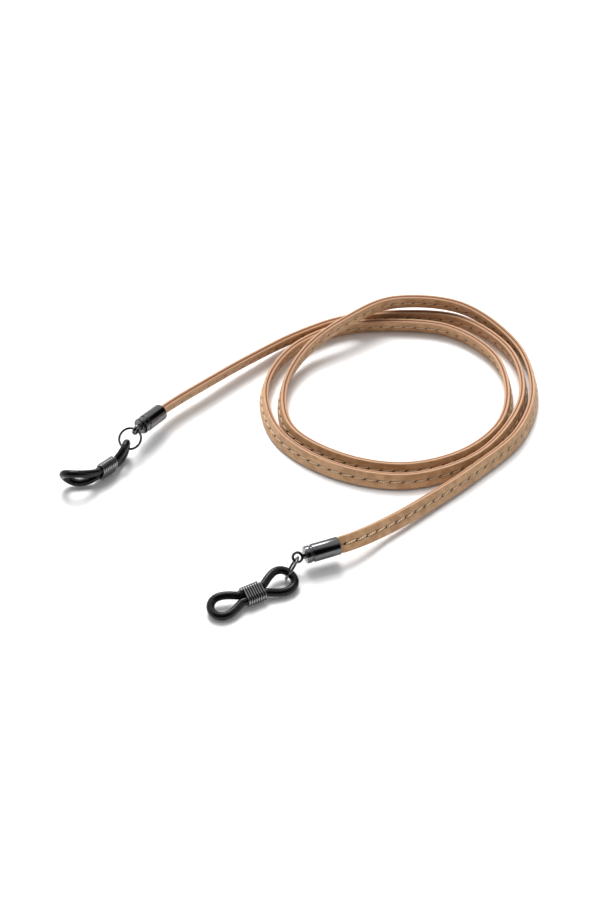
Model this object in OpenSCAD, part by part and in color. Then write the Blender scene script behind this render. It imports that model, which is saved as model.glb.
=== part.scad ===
// Leather eyeglass retainer strap, laid down in a loose double coil.
// Two leather layers are sewn together through the middle. Each end is glued
// into a metal ferrule, which carries a jump ring and a rubber grip loop.

/* [Strap] */
// Width of the sewn strap
strap_w = 4.6; // [4:0.1:6]
// Thickness of one leather layer
layer_t = 0.85; // [0.6:0.05:1.1]
// Bevel on the outer corners of each leather layer
edge_bevel = 0.3; // [0.1:0.05:0.4]
// Width of the trimmed tongue that goes into a ferrule
tongue_w = 4.2; // [3:0.1:4.6]
// Length of the trimmed tongue
tongue_l = 5.5; // [4:0.5:8]
// Length over which the tongue widens to the full strap
shoulder_l = 0.8; // [0.4:0.1:1.5]

/* [Stitching] */
// Width of the row of thread on each face
thread_w = 0.5; // [0.3:0.05:0.7]
// Height of the thread above the leather
thread_h = 0.2; // [0.1:0.05:0.4]

/* [Ferrules] */
// Wall of the ferrule around its bore
ferrule_wall = 0.3; // [0.2:0.05:0.6]
// Radial room between the tongue and the bore
tongue_fit = 0.03; // [0.01:0.01:0.1]
// Thickness of the glue between the tongue and the bottom of the bore
glue_t = 1; // [0.5:0.1:2]
// Thickness of the bottom of the bore
ferrule_end_t = 1.1; // [0.6:0.1:2]
// Width of the groove round the ferrule
groove_w = 0.5; // [0.3:0.05:0.8]
// Depth of that groove
groove_depth = 0.3; // [0.1:0.05:0.5]
// Length of the collar beyond the groove
collar_l = 1.4; // [0.8:0.1:2]
// Radius that rounds the ferrule's edges
ferrule_round = 0.2; // [0.1:0.05:0.28]
// Diameter of the neck that carries the eye
neck_d = 2; // [1.4:0.1:2.6]
// Length of the neck, measured to the rim of the eye
neck_l = 0.5; // [0.3:0.1:1.5]
// Hole through the eye
eye_hole_d = 1.8; // [1.4:0.1:2.2]
// Rim of metal round the eye's hole
eye_rim = 0.75; // [0.5:0.05:1.2]
// Thickness of the eye
eye_t = 1.1; // [0.8:0.1:1.6]

/* [Jump rings] */
// Outside diameter of a jump ring
ring_d = 7; // [6:0.5:9]
// Diameter of its wire
ring_wire = 0.7; // [0.5:0.05:0.9]
// Slit between the wire's cut ends, in degrees
ring_slit = 4; // [2:1:10]

/* [Rubber loops] */
// Diameter of the rubber cord
rubber_d = 2.2; // [1.6:0.1:2.4]
// Room between the ring's wire and the rubber
hang_gap = 0.1; // [0.05:0.05:0.3]
// Reach of the front opening, which grips the temple arm
front_l = 9; // [7:0.2:12]
// Bulge of the front opening
front_bulge = 3.5; // [3:0.1:5]
// Reach of the back opening, which hangs on the jump ring
back_l = 9.2; // [7:0.2:12]
// Bulge of the back opening
back_bulge = 4; // [3.5:0.1:6]
// Straight run of rubber in front of the wire coil
front_run = 0.9; // [0.4:0.1:2]
// Straight run of rubber behind the wire coil
back_run = 0.6; // [0.4:0.1:2]

/* [Wire coils] */
// Number of turns in a coil
coil_turns = 8; // [6:1:12]
// Diameter of its wire
coil_wire = 0.6; // [0.4:0.05:0.8]
// Distance from one turn to the next
coil_pitch = 0.75; // [0.62:0.01:0.9]
// Room between the rubber and the coil
coil_fit = 0.05; // [0.02:0.01:0.1]

/* [Right end] */
// Heading of the right ferrule, from its mouth to its eye
right_yaw = 201; // [190:1:220]
// Dip of the right ferrule towards its eye
right_dip = 1.5; // [0:0.5:6]
// Roll of the right eye about the ferrule
right_roll = -40; // [-60:5:-20]
// Swing of the right jump ring in its eye
right_swing = 44; // [35:1:50]
// Heading of the right loop, from its ring towards the temple arm
right_loop_yaw = 210; // [200:1:220]
// Dip of the right loop
right_loop_dip = 0; // [-4:1:2]
// Roll of the right loop about its coil
right_loop_roll = -20; // [-30:1:0]

/* [Left end] */
// Heading of the left ferrule, from its mouth to its eye
left_yaw = 238.5; // [232:0.5:244]
// Dip of the left ferrule towards its eye
left_dip = -8.5; // [-10:0.5:-6]
// Roll of the left eye about the ferrule
left_roll = -102; // [-110:1:-95]
// Swing of the left jump ring in its eye
left_swing = 38.5; // [34:0.5:44]
// Heading of the left loop, from its ring towards the temple arm
left_loop_yaw = 229; // [224:0.5:234]
// Dip of the left loop
left_loop_dip = -2.5; // [-5:0.5:0]
// Roll of the left loop about its coil
left_loop_roll = 72; // [62:1:80]
// How far the left coil is pushed towards its ring
left_coil_shift = 1.6; // [1:0.1:2]
// Bulge of the left loop's back opening, which is drawn narrower
left_back_bulge = 2.8; // [2.4:0.1:3.2]

/* [Hidden] */
$fn = 64;

// The strap's route, from the right ferrule's mouth to the left ferrule's mouth.
// A lead's points are [x, y, rise of the lower edge, lean of the strap].
lead_in = [[9.2, -43.5, 2.7, 42], [22.5, -34, 0.8, 35], [35.5, -23, 0.1, 27]];
lead_out = [[12, 58.5, 0.1, 18], [-2, 50.5, 0.5, 22], [-15, 39, 1.4, 25],
            [-28, 26, 2.2, 25], [-41.4, 11.3, 3, 25]];
// The coil's points stand a step apart round its middle, and are
// [radius, rise as a share of crossing_rise, lean].
coil_mid = [28, 24];
coil_start = -60;
coil_step = 30;
coil_points = [
    [40.5, 0, 20], [39, 0, 17], [40, 0, 17], [42.5, 0.1, 18], [42.5, 0.65, 17],
    [37, 1.05, 13], [31, 1, 12], [32, 0.4, 12], [34, 0, 14], [36.5, 0, 15],
    [35, 0, 16], [34.5, 0, 16], [33.5, 0, 16], [33, 0, 16], [32.5, 0, 16],
    [34, 0, 16], [34.5, 0, 16], [33, 0, 16], [35, 0, 16], [37.5, 0, 16],
    [39.5, 0, 16], [40.5, 0, 16], [39.5, 0, 16], [39, 0, 16], [37, 0, 16],
    [35.5, 0, 16], [37, 0, 16], [39.5, 0, 16], [40.5, 0, 16], [37.5, 0, 16]
];
// Gap between the strands where one passes over the others
crossing_gap = 0.4;
crossing_rise = strap_w + 2 * layer_t * sin(16) + crossing_gap;
rings_a_step = 2;

function centre_height(rise, lean) = rise + strap_w / 2 * cos(lean) + layer_t * sin(lean);
function coil_place(i) = let (a = coil_start + coil_step * i, c = coil_points[i])
    [coil_mid.x + c[0] * cos(a), coil_mid.y + c[0] * sin(a), c[1] * crossing_rise, c[2]];
// Puts the middle of the whole part over the origin, and its underside on the floor
centring = [0, 1.2, 0.06];
route_points = [
    for (p = concat(lead_in, [for (i = [0:len(coil_points) - 1]) coil_place(i)], lead_out))
        [p.x + centring.x, p.y + centring.y, centre_height(p[2], p[3]) + centring.z, p[3]]
];

// Directions are taken with X along the ferrule, from its mouth to its eye.
function heading(yaw, dip) = [cos(dip) * cos(yaw), cos(dip) * sin(yaw), -sin(dip)];
function unit(v) = v / norm(v);
function place(p) = [p.x, p.y, p.z];
right_axis = heading(right_yaw, right_dip);
left_axis = heading(left_yaw, left_dip);
right_mouth = place(route_points[0]);
left_mouth = place(route_points[len(route_points) - 1]);

// A smooth curve through the route's points: cubic pieces whose end slopes
// are half the step between the neighbouring points.
last = len(route_points) - 1;
function step_out(axis, a, b) = concat(axis * norm(place(b) - place(a)), [b[3] - a[3]]);
function slope(i) = i == 0 ? step_out(-right_axis, route_points[0], route_points[1])
    : i == last ? step_out(left_axis, route_points[last - 1], route_points[last])
    : (route_points[i + 1] - route_points[i - 1]) / 2;
function on_route(i, t) =
    (2 * pow(t, 3) - 3 * t * t + 1) * route_points[i] + (pow(t, 3) - 2 * t * t + t) * slope(i)
    + (3 * t * t - 2 * pow(t, 3)) * route_points[i + 1] + (pow(t, 3) - t * t) * slope(i + 1);
function along_route(i, t) = unit(place(
    (6 * t * t - 6 * t) * route_points[i] + (3 * t * t - 4 * t + 1) * slope(i)
    + (6 * t - 6 * t * t) * route_points[i + 1] + (3 * t * t - 2 * t) * slope(i + 1)));

// Each section of the strap is [place, direction, lean, width].
function section_at(i, t, w) = let (p = on_route(i, t)) [place(p), along_route(i, t), p[3], w];
first_step = norm(place(route_points[1]) - right_mouth);
last_step = norm(left_mouth - place(route_points[last - 1]));
right_lean = route_points[0][3];
left_lean = route_points[last][3];
sections = concat(
    [[right_mouth + right_axis * tongue_l, -right_axis, right_lean, tongue_w],
     [right_mouth, -right_axis, right_lean, tongue_w],
     section_at(0, shoulder_l / first_step, strap_w)],
    [for (i = [0:last - 1]) for (k = [0:rings_a_step - 1])
        if (i + k > 0) section_at(i, k / rings_a_step, strap_w)],
    [section_at(last - 1, 1 - shoulder_l / last_step, strap_w),
     [left_mouth, left_axis, left_lean, tongue_w],
     [left_mouth + left_axis * tongue_l, left_axis, left_lean, tongue_w]]
);

// Places a point of a section: across is towards the top edge, out is away
// from the middle of the coil.
function in_section(s, across, out) =
    let (up = unit([0, 0, 1] - s[1] * s[1].z), inward = cross(up, s[1]),
         w = cos(s[2]) * up + sin(s[2]) * inward)
    s[0] + across * w + out * cross(s[1], w);

// A leather layer's outline from its sewn face outwards, side is 1 or -1.
function leather_outline(w, side) = [
    [-w / 2, 0], [w / 2, 0], [w / 2, side * (layer_t - edge_bevel)],
    [w / 2 - edge_bevel, side * layer_t], [thread_w / 2, side * layer_t],
    [-thread_w / 2, side * layer_t], [edge_bevel - w / 2, side * layer_t],
    [-w / 2, side * (layer_t - edge_bevel)]
];
function thread_outline(side) = [
    [-thread_w / 2, side * layer_t], [thread_w / 2, side * layer_t],
    [thread_w / 4, side * (layer_t + thread_h)], [-thread_w / 4, side * (layer_t + thread_h)]
];

// Skins a list of rings, whose points run one way round (out is 1) or the other
// (out is -1). Each four-sided patch is split along one diagonal or the other,
// so that two bodies that touch are split the same way where they do.
module skin(rings, closed, out, crossed) {
    n = len(rings);
    m = len(rings[0]);
    steps = closed ? n : n - 1;
    patches = [
        for (i = [0:steps - 1]) for (j = [0:m - 1])
            let (a = i * m + j, b = i * m + (j + 1) % m,
                 c = ((i + 1) % n) * m + (j + 1) % m, d = ((i + 1) % n) * m + j)
            each (crossed ? [[a, b, d], [b, c, d]] : [[a, b, c], [a, c, d]])
    ];
    start = [for (j = [m - 1:-1:0]) j];
    finish = [for (j = [0:m - 1]) (n - 1) * m + j];
    faces = concat(patches, closed ? [] : [start, finish]);
    polyhedron(
        points = [for (r = rings) each r],
        faces = out > 0 ? faces : [for (f = faces) [for (k = [len(f) - 1:-1:0]) f[k]]],
        convexity = 20
    );
}

module leather_layer(side) {
    skin([for (s = sections) [for (q = leather_outline(s[3], side)) in_section(s, q.x, q.y)]],
         false, -side, false);
}

// The thread runs on the free strap only, between the two shoulders.
module thread_row(side) {
    sewn = [for (i = [2:len(sections) - 3]) sections[i]];
    skin([for (s = sewn) [for (q = thread_outline(side)) in_section(s, q.x, q.y)]],
         false, -side, true);
}

module strap_outer_leather() { color("tan") leather_layer(1); }
module strap_inner_leather() { color("peru") leather_layer(-1); }
module outer_thread() { color("wheat") thread_row(1); }
module inner_thread() { color("wheat") thread_row(-1); }

// The bore takes the corners of the tongue.
bore_r = norm([tongue_w / 2, layer_t - edge_bevel]) + tongue_fit;
bore_depth = tongue_l + glue_t;
ferrule_r = bore_r + ferrule_wall;
ferrule_l = bore_depth + ferrule_end_t + groove_w + collar_l;
eye_r = eye_hole_d / 2 + eye_rim;
eye_x = ferrule_l + neck_l + eye_r;

module rounded_rod(r, l) {
    rotate([0, 90, 0]) rotate_extrude() {
        square([r - ferrule_round, l]);
        translate([0, ferrule_round]) square([r, l - 2 * ferrule_round]);
        for (y = [ferrule_round, l - ferrule_round])
            translate([r - ferrule_round, y]) circle(ferrule_round);
    }
}

// A ferrule lies along X, with its mouth at the origin.
module ferrule_shape() {
    barrel_l = bore_depth + ferrule_end_t;
    difference() {
        union() {
            difference() {
                rounded_rod(ferrule_r, barrel_l);
                translate([-1, 0, 0]) rotate([0, 90, 0]) cylinder(r = bore_r, h = bore_depth + 1);
            }
            translate([barrel_l - 0.1, 0, 0]) rotate([0, 90, 0])
                cylinder(r = ferrule_r - groove_depth, h = groove_w + 0.2);
            translate([barrel_l + groove_w, 0, 0]) rounded_rod(ferrule_r - 0.1, collar_l);
            translate([ferrule_l - 0.1, 0, 0]) rotate([0, 90, 0])
                cylinder(d = neck_d, h = neck_l + eye_rim / 2 + 0.1);
            translate([eye_x, 0, -eye_t / 2]) cylinder(r = eye_r, h = eye_t);
        }
        translate([eye_x, 0, -eye_t]) cylinder(d = eye_hole_d, h = 2 * eye_t);
    }
}

// The glue fills the bottom of the bore, behind the tongue.
module glue_shape() {
    translate([tongue_l, 0, 0]) rotate([0, 90, 0]) cylinder(r = bore_r - tongue_fit, h = glue_t);
}

// A jump ring hangs in the eye at the origin and reaches out along X.
ring_r = (ring_d - ring_wire) / 2;
module ring_shape() {
    translate([ring_r, 0, 0]) rotate([90, 0, 0]) rotate([0, 0, 90 + ring_slit / 2])
        rotate_extrude(angle = 360 - ring_slit) translate([ring_r, 0]) circle(d = ring_wire);
}

module at_ferrule(mouth, yaw, dip, roll) {
    translate(mouth) rotate([roll, dip, yaw]) children();
}
module at_eye(mouth, yaw, dip, roll, swing) {
    at_ferrule(mouth, yaw, dip, roll) translate([eye_x, 0, 0]) rotate([0, 0, swing]) children();
}

module right_ferrule() {
    color("dimgray") at_ferrule(right_mouth, right_yaw, right_dip, right_roll) ferrule_shape();
}
module left_ferrule() {
    color("dimgray") at_ferrule(left_mouth, left_yaw, left_dip, left_roll) ferrule_shape();
}
module right_glue() {
    color("ivory") at_ferrule(right_mouth, right_yaw, right_dip, right_roll) glue_shape();
}
module left_glue() {
    color("ivory") at_ferrule(left_mouth, left_yaw, left_dip, left_roll) glue_shape();
}
module right_jump_ring() {
    color("gray") at_eye(right_mouth, right_yaw, right_dip, right_roll, right_swing) ring_shape();
}
module left_jump_ring() {
    color("gray") at_eye(left_mouth, left_yaw, left_dip, left_roll, left_swing) ring_shape();
}

// Where the rubber hangs in a ring: inside the wire at the ring's far side.
hang_reach = 2 * ring_r - ring_wire / 2 - hang_gap - rubber_d / 2;
function turn_x(v, a) = [v.x, v.y * cos(a) - v.z * sin(a), v.y * sin(a) + v.z * cos(a)];
function turn_y(v, a) = [v.x * cos(a) + v.z * sin(a), v.y, v.z * cos(a) - v.x * sin(a)];
function turn_z(v, a) = [v.x * cos(a) - v.y * sin(a), v.x * sin(a) + v.y * cos(a), v.z];
function turn(v, roll, dip, yaw) = turn_z(turn_y(turn_x(v, roll), dip), yaw);
function hang_place(mouth, yaw, dip, roll, swing) = mouth
    + turn([eye_x, 0, 0] + turn_z([hang_reach, 0, 0], swing), roll, dip, yaw);

// A rubber loop is a closed cord pinched in the middle. Its spine is straight
// in the coil, and bends evenly in front of it and behind it. The cord stands
// off the spine on both sides, on a line that is rolled about the spine.
// Each opening has a [bend, tilt, twist]: how far its end is bent round, the
// tilt of that bend about the coil, and how far the end is twisted.
strand_off = rubber_d / 2 + coil_fit / 2;
coil_l = coil_turns * coil_pitch;
function bent(q, rate) = abs(rate) < 0.01 ? [q, 0, 0]
    : [sin(rate * q), 1 - cos(rate * q), 0] * 180 / PI / rate;
// A direction across the spine at distance q past the coil, rolled by roll
function across(q, reach, shape, roll) =
    turn_x(turn_z(turn_x([0, 1, 0], roll + shape[2] * q / reach - shape[1]), shape[0] * q / reach), shape[1]);
// A point of an opening at distance q past the coil, and off the spine by off
function past_coil(q, off, reach, shape, roll) =
    [coil_l / 2, 0, 0] + turn_x(bent(q, shape[0] / reach), shape[1]) + off * across(q, reach, shape, roll);
// The cord of one opening, by the angle t round it: [reach, offset]
function opening(t, reach, run, bulge) = [
    run + (reach - run) * (1 - cos(t)) / 2,
    strand_off * (1 + cos(t)) / 2 * (t < 180 ? 1 : -1)
        + bulge * sin(t) * pow(abs(sin(t / 2)), 1.25)
];
opening_steps = 20;
function opening_cord(reach, run, bulge, shape, roll) = [
    for (k = [0:opening_steps]) let (q = opening(360 * k / opening_steps, reach, run, bulge))
        [past_coil(q[0], q[1], reach, shape, roll), across(q[0], reach, shape, roll + 90)]
];
// The back opening is a front one turned round the vertical.
function turned_back(p) = [-p.x, -p.y, p.z];
function back_shape(shape) = [shape[0], shape[1], -shape[2]];
function loop_cord(roll, front, back, shift, bulge) = concat(
    opening_cord(front_l + shift, front_run, front_bulge, front, roll),
    [[-strand_off * turn_x([0, 1, 0], roll), turn_x([0, 0, 1], roll)]],
    [for (c = opening_cord(back_l - shift, back_run, bulge, back_shape(back), -roll))
        [turned_back(c[0]), turned_back(c[1])]],
    [[strand_off * turn_x([0, 1, 0], roll), turn_x([0, 0, 1], roll)]]
);
rubber_sides = 8;
module rubber_shape(roll, front, back, shift, bulge) {
    cord = loop_cord(roll, front, back, shift, bulge);
    n = len(cord);
    rings = [for (i = [0:n - 1])
        let (along = unit(cord[(i + 1) % n][0] - cord[(i + n - 1) % n][0]),
             up = unit(cord[i][1] - along * (cord[i][1] * along)), side = cross(along, up))
        [for (j = [0:rubber_sides - 1]) let (a = 360 * (j + 0.5) / rubber_sides)
            cord[i][0] + rubber_d / 2 * (cos(a) * side + sin(a) * up)]];
    skin(rings, true, 1, false);
}

// The coil is a ribbed sleeve round the two strands, along X.
module strand_pair(r) {
    square([2 * strand_off, 2 * r], center = true);
    for (x = [-1, 1]) translate([x * strand_off, 0]) circle(r);
}
module coil_shape(roll) {
    inner = rubber_d / 2 + coil_fit;
    rib_w = coil_wire * 0.8;
    rotate([roll, 0, 0]) rotate([90, 0, 90]) difference() {
        union() {
            translate([0, 0, -coil_l / 2]) linear_extrude(coil_l) strand_pair(inner + coil_wire / 2);
            for (k = [0:coil_turns - 1])
                translate([0, 0, (k + 0.5 - coil_turns / 2) * coil_pitch - rib_w / 2])
                    linear_extrude(rib_w) strand_pair(inner + coil_wire);
        }
        translate([0, 0, -coil_l]) linear_extrude(2 * coil_l) strand_pair(inner);
    }
}

// Each loop hangs by a point of its back opening, at this angle round it.
right_hang_angle = 166;
left_hang_angle = 180;
right_front = [-11, 44, 11];
right_back = [11, 0, 8];
left_front = [-67, -16, -22];
left_back = [45, 54, -2];
function hang_local(angle, roll, back, shift, bulge) =
    let (reach = back_l - shift, q = opening(angle, reach, back_run, bulge))
    turned_back(past_coil(q[0], q[1], reach, back_shape(back), -roll));
module hung(place, local, yaw, dip) {
    translate(place) rotate([0, dip, yaw]) translate(-local) children();
}
right_hang = hang_place(right_mouth, right_yaw, right_dip, right_roll, right_swing);
left_hang = hang_place(left_mouth, left_yaw, left_dip, left_roll, left_swing);
right_local = hang_local(right_hang_angle, right_loop_roll, right_back, 0, back_bulge);
left_local = hang_local(left_hang_angle, left_loop_roll, left_back,
                        left_coil_shift, left_back_bulge);

module right_rubber_loop() {
    color("black") hung(right_hang, right_local, right_loop_yaw, right_loop_dip)
        rubber_shape(right_loop_roll, right_front, right_back, 0, back_bulge);
}
module left_rubber_loop() {
    color("black") hung(left_hang, left_local, left_loop_yaw, left_loop_dip)
        rubber_shape(left_loop_roll, left_front, left_back, left_coil_shift, left_back_bulge);
}
module right_wire_coil() {
    color("silver") hung(right_hang, right_local, right_loop_yaw, right_loop_dip)
        coil_shape(right_loop_roll);
}
module left_wire_coil() {
    color("silver") hung(left_hang, left_local, left_loop_yaw, left_loop_dip)
        coil_shape(left_loop_roll);
}

strap_outer_leather();
strap_inner_leather();
outer_thread();
inner_thread();
right_ferrule();
right_glue();
right_jump_ring();
right_rubber_loop();
right_wire_coil();
left_ferrule();
left_glue();
left_jump_ring();
left_rubber_loop();
left_wire_coil();
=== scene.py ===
"""Looks of a leather eyeglass retainer strap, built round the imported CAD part.

The strap is two leather layers sewn together through the middle and laid on
edge in a loose double coil. Each end is glued into a turned ferrule, whose eye
carries a jump ring, and a rubber loop pinched by a wire coil hangs in the ring.
Sizes are in millimetres; vertices are turned into metres as a mesh is made.
Angles are in degrees.
"""

import logging
import math
from dataclasses import dataclass, field
from enum import Enum
from typing import Union

import bpy
import numpy as np
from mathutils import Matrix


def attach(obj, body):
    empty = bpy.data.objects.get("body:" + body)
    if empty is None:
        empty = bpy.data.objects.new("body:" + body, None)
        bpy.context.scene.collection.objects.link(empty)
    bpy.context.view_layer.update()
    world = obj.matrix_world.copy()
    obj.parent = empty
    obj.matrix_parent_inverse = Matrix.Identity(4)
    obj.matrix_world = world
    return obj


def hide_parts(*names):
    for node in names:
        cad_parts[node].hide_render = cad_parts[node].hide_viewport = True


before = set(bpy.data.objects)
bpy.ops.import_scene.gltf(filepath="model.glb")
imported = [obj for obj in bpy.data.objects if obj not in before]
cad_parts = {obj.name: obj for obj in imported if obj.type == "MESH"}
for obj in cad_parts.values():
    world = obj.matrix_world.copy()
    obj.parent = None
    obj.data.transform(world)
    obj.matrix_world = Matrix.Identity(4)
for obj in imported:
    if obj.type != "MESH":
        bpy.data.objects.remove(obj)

MM = 0.001
log = logging.getLogger("strap")
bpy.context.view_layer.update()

Socket = bpy.types.NodeSocket
Number = Union[float, np.ndarray]
Colour = tuple[float, float, float]
Curl = tuple[float, float, float]


# ---------------------------------------------------------------- directions


def unit(v: np.ndarray) -> np.ndarray:
    """Vectors divided by their lengths."""
    return v / np.linalg.norm(v, axis=-1, keepdims=True)


def turned_x(v: np.ndarray, degrees: Number) -> np.ndarray:
    """Vectors turned about X.

    Args:
        v: the vectors.
        degrees: the turn, one for all or one for each.

    Returns:
        The turned vectors.
    """
    c, s = np.cos(np.radians(degrees)), np.sin(np.radians(degrees))
    x, y, z = v[..., 0], v[..., 1], v[..., 2]
    return np.stack(np.broadcast_arrays(x, y * c - z * s, y * s + z * c), axis=-1)


def turned_y(v: np.ndarray, degrees: Number) -> np.ndarray:
    """Vectors turned about Y.

    Args:
        v: the vectors.
        degrees: the turn, one for all or one for each.

    Returns:
        The turned vectors.
    """
    c, s = np.cos(np.radians(degrees)), np.sin(np.radians(degrees))
    x, y, z = v[..., 0], v[..., 1], v[..., 2]
    return np.stack(np.broadcast_arrays(x * c + z * s, y, z * c - x * s), axis=-1)


def turned_z(v: np.ndarray, degrees: Number) -> np.ndarray:
    """Vectors turned about Z.

    Args:
        v: the vectors.
        degrees: the turn, one for all or one for each.

    Returns:
        The turned vectors.
    """
    c, s = np.cos(np.radians(degrees)), np.sin(np.radians(degrees))
    x, y, z = v[..., 0], v[..., 1], v[..., 2]
    return np.stack(np.broadcast_arrays(x * c - y * s, x * s + y * c, z), axis=-1)


def turned(v: np.ndarray, roll: float, dip: float, yaw: float) -> np.ndarray:
    """Vectors rolled about X, dipped about Y and then turned about Z."""
    return turned_z(turned_y(turned_x(v, roll), dip), yaw)


# --------------------------------------------------------------------- meshes


@dataclass
class Shell:
    """Vertices in millimetres, and faces in arrays of one number of corners each."""

    points: np.ndarray
    faces: list[np.ndarray]

    def facing_out(self) -> "Shell":
        """The shell with its faces turned outwards, told by the sign of its volume.

        A face adds the sum of first . (k-th x next), over its corners after the first.

        Returns:
            This shell, or one with every face turned round.
        """
        volume = 0.0
        for rows in self.faces:
            corners = self.points[rows]
            normals = np.cross(corners[:, 1:-1], corners[:, 2:]).sum(axis=1)
            volume += float(np.einsum("ij,ij->", corners[:, 0], normals))
        return self if volume > 0 else Shell(self.points, [rows[:, ::-1] for rows in self.faces])


def grid(rows: int, columns: int, closed: bool) -> np.ndarray:
    """Four-sided faces between neighbours on a grid whose rows are rings.

    Args:
        rows: how many rings.
        columns: points in each ring.
        closed: whether the last ring joins the first one.

    Returns:
        The faces.
    """
    i, j = np.meshgrid(np.arange(rows if closed else rows - 1), np.arange(columns), indexing="ij")
    here, there = i * columns, (i + 1) % rows * columns
    then = (j + 1) % columns
    return np.stack([here + j, here + then, there + then, there + j], axis=-1).reshape(-1, 4)


def skin(rings: np.ndarray, closed: bool) -> Shell:
    """Skins a row of rings with four-sided faces, and caps its two ends.

    Args:
        rings: n rings of m points, as an n by m by 3 array.
        closed: whether the last ring joins the first one.

    Returns:
        The closed shell, facing outwards.
    """
    n, m = rings.shape[:2]
    faces = [grid(n, m, closed)]
    if not closed:
        faces.append(np.stack([np.arange(m)[::-1], np.arange(m) + (n - 1) * m]))
    return Shell(rings.reshape(-1, 3), faces).facing_out()


def lathe(profile: np.ndarray, sides: int) -> Shell:
    """Turns a profile round X: each point (x, r) becomes a circle of radius r at x.

    Args:
        profile: points (x, r), the first and the last with r = 0.
        sides: points in each circle.

    Returns:
        The closed shell, facing outwards.
    """
    angle = np.linspace(0, 2 * math.pi, sides, endpoint=False)
    x, r = profile[1:-1, 0, None], profile[1:-1, 1, None]
    circles = np.stack([x + 0 * angle, r * np.cos(angle), r * np.sin(angle)], axis=-1)
    poles = np.array([[profile[0, 0], 0, 0], [profile[-1, 0], 0, 0]])
    n = len(circles) * sides
    first, then = np.arange(sides), (np.arange(sides) + 1) % sides
    near = np.stack([0 * first + n, then, first], axis=-1)
    far = np.stack([0 * first + n + 1, n - sides + first, n - sides + then], axis=-1)
    faces = [grid(len(circles), sides, False), near, far]
    return Shell(np.vstack([circles.reshape(-1, 3), poles]), faces).facing_out()


def tube(path: np.ndarray, up: np.ndarray, radius: float, sides: int, closed: bool) -> Shell:
    """Carries a circle along a path: centre + radius (cos a * side + sin a * up).

    Args:
        path: n points.
        up: n directions, roughly across the path, that keep the circle from twisting.
        radius: the circle's radius.
        sides: points in the circle.
        closed: whether the path closes on itself.

    Returns:
        The closed shell, facing outwards.
    """
    if closed:
        along = unit(np.roll(path, -1, axis=0) - np.roll(path, 1, axis=0))
    else:
        along = unit(np.gradient(path, axis=0))
    level = unit(up - along * np.sum(up * along, axis=-1, keepdims=True))
    side = np.cross(along, level)
    angle = np.linspace(0, 2 * math.pi, sides, endpoint=False)[:, None]
    rings = path[:, None] + radius * (
        np.cos(angle) * side[:, None] + np.sin(angle) * level[:, None]
    )
    return skin(rings, closed)


def joined(shells: list[Shell]) -> Shell:
    """Puts several shells together.

    Args:
        shells: the shells.

    Returns:
        One shell of all of them.
    """
    starts = np.cumsum([0] + [len(shell.points) for shell in shells])
    faces = [rows + start for shell, start in zip(shells, starts) for rows in shell.faces]
    return Shell(np.vstack([shell.points for shell in shells]), faces)


def piece(
    name: str, shell: Shell, sharp: float, places: dict[str, np.ndarray] | None = None
) -> bpy.types.Object:
    """Makes an object of a shell.

    Args:
        name: the object's name.
        shell: its vertices, in millimetres, and faces.
        sharp: edges that turn more than this many degrees stay sharp.
        places: named vectors, one a vertex, that the finish reads.

    Returns:
        The new object, at the origin.
    """
    mesh = bpy.data.meshes.new(name)
    faces = [face for rows in shell.faces for face in rows.tolist()]
    mesh.from_pydata((shell.points * MM).tolist(), [], faces)
    for key, values in (places or {}).items():
        layer = mesh.attributes.new(key, "FLOAT_VECTOR", "POINT")
        layer.data.foreach_set("vector", np.asarray(values, dtype=np.float32).ravel())
    mesh.polygons.foreach_set("use_smooth", np.ones(len(mesh.polygons), dtype=bool))
    mesh.set_sharp_from_angle(angle=math.radians(sharp))
    mesh.update()
    made = bpy.data.objects.new(name, mesh)
    bpy.context.scene.collection.objects.link(made)
    return made


# ------------------------------------------------------------------- finishes


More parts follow.
